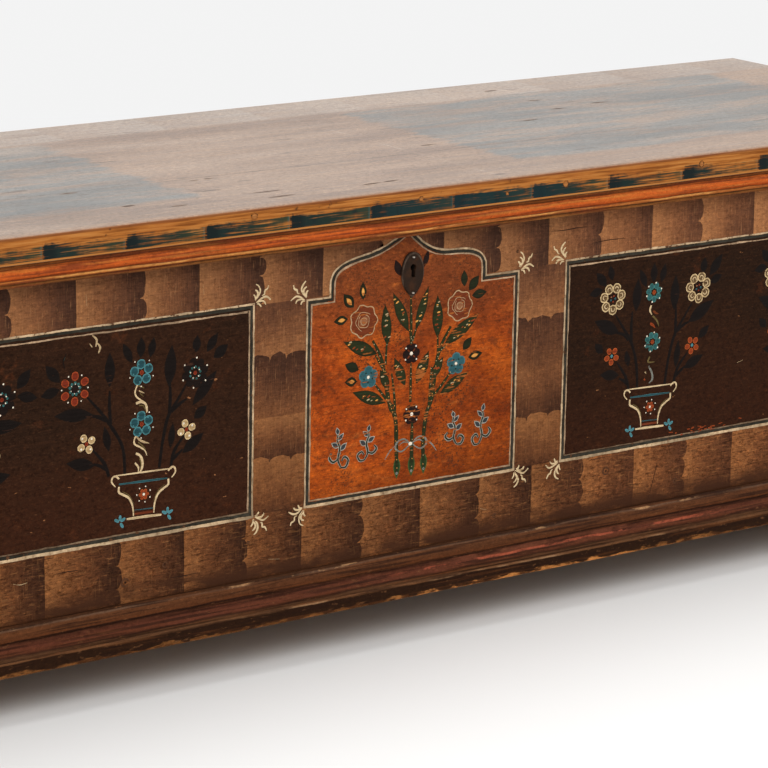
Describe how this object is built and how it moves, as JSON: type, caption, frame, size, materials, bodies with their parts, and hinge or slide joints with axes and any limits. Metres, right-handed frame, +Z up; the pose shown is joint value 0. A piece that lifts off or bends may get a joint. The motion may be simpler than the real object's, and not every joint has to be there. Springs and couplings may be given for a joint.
{
  "type": "chest bench",
  "caption": "Long low painted pine chest with a flat hinged lid that serves as a seat, profiled base and lid mouldings, skids, strap hinges and a chest lock.",
  "frame": {"origin": "on the floor, under the centre of the bench's bounding box", "axes": "+X along the bench to the right as one faces its painted front, +Y to the back, +Z up"},
  "size_m": [1.692, 0.5084, 0.4923],
  "materials": {
    "front_paint": "feathered brown graining with painted panels, worn and waxed",
    "end_paint": "feathered brown graining, worn",
    "lid_paint": "pale worn paint with blue-grey fields, waxed",
    "lid_moulding_paint": "orange-red paint, worn yellow on its arrises",
    "base_moulding_paint": "dark red-brown paint, worn to the wood on its arrises",
    "bare_pine": "unpainted aged pine",
    "iron": "forged iron, dark and lightly rusted"
  },
  "bodies": {
    "carcase": {"front_board": "front_paint", "back_lower_board": "bare_pine", "back_upper_board": "bare_pine", "left_end_board": "end_paint", "right_end_board": "end_paint", "bottom_front_plank": "bare_pine", "bottom_back_plank": "bare_pine", "bottom_nails": "iron", "left_skid": "bare_pine", "right_skid": "bare_pine", "base_moulding_front": "base_moulding_paint", "base_moulding_left": "base_moulding_paint", "base_moulding_right": "base_moulding_paint", "hinge_leaf_left": "iron", "hinge_leaf_right": "iron", "hinge_pin_left": "iron", "hinge_pin_right": "iron", "leaf_nails": "iron", "escutcheon": "iron", "escutcheon_nails": "iron", "lock_plate": "iron", "lock_nails": "iron", "bolt_guide_tail": "iron", "bolt_guide_nose": "iron", "lock_spring": "iron", "lock_cap": "iron", "lock_cap_posts": "iron"},
    "lid": {"lid_front_plank": "lid_paint", "lid_back_plank": "lid_paint", "lid_moulding_front": "lid_moulding_paint", "lid_moulding_left": "lid_moulding_paint", "lid_moulding_right": "lid_moulding_paint", "lid_batten_left": "bare_pine", "lid_batten_right": "bare_pine", "hinge_strap_left": "iron", "hinge_strap_right": "iron", "strap_nails": "iron", "lid_staple": "iron", "staple_nails": "iron"},
    "bolt": {"lock_bolt": "iron"}
  },
  "joints": [
    {"name": "lid_hinge", "type": "hinge", "parent": "carcase", "child": "lid", "pos_m": [0, 0.24775, 0.4608], "axis": [-1, 0, 0], "range_deg": [0, 100]},
    {"name": "bolt_slide", "type": "slide", "parent": "carcase", "child": "bolt", "axis": [1, 0, 0], "range_m": [0, 0.014]}
  ]
}
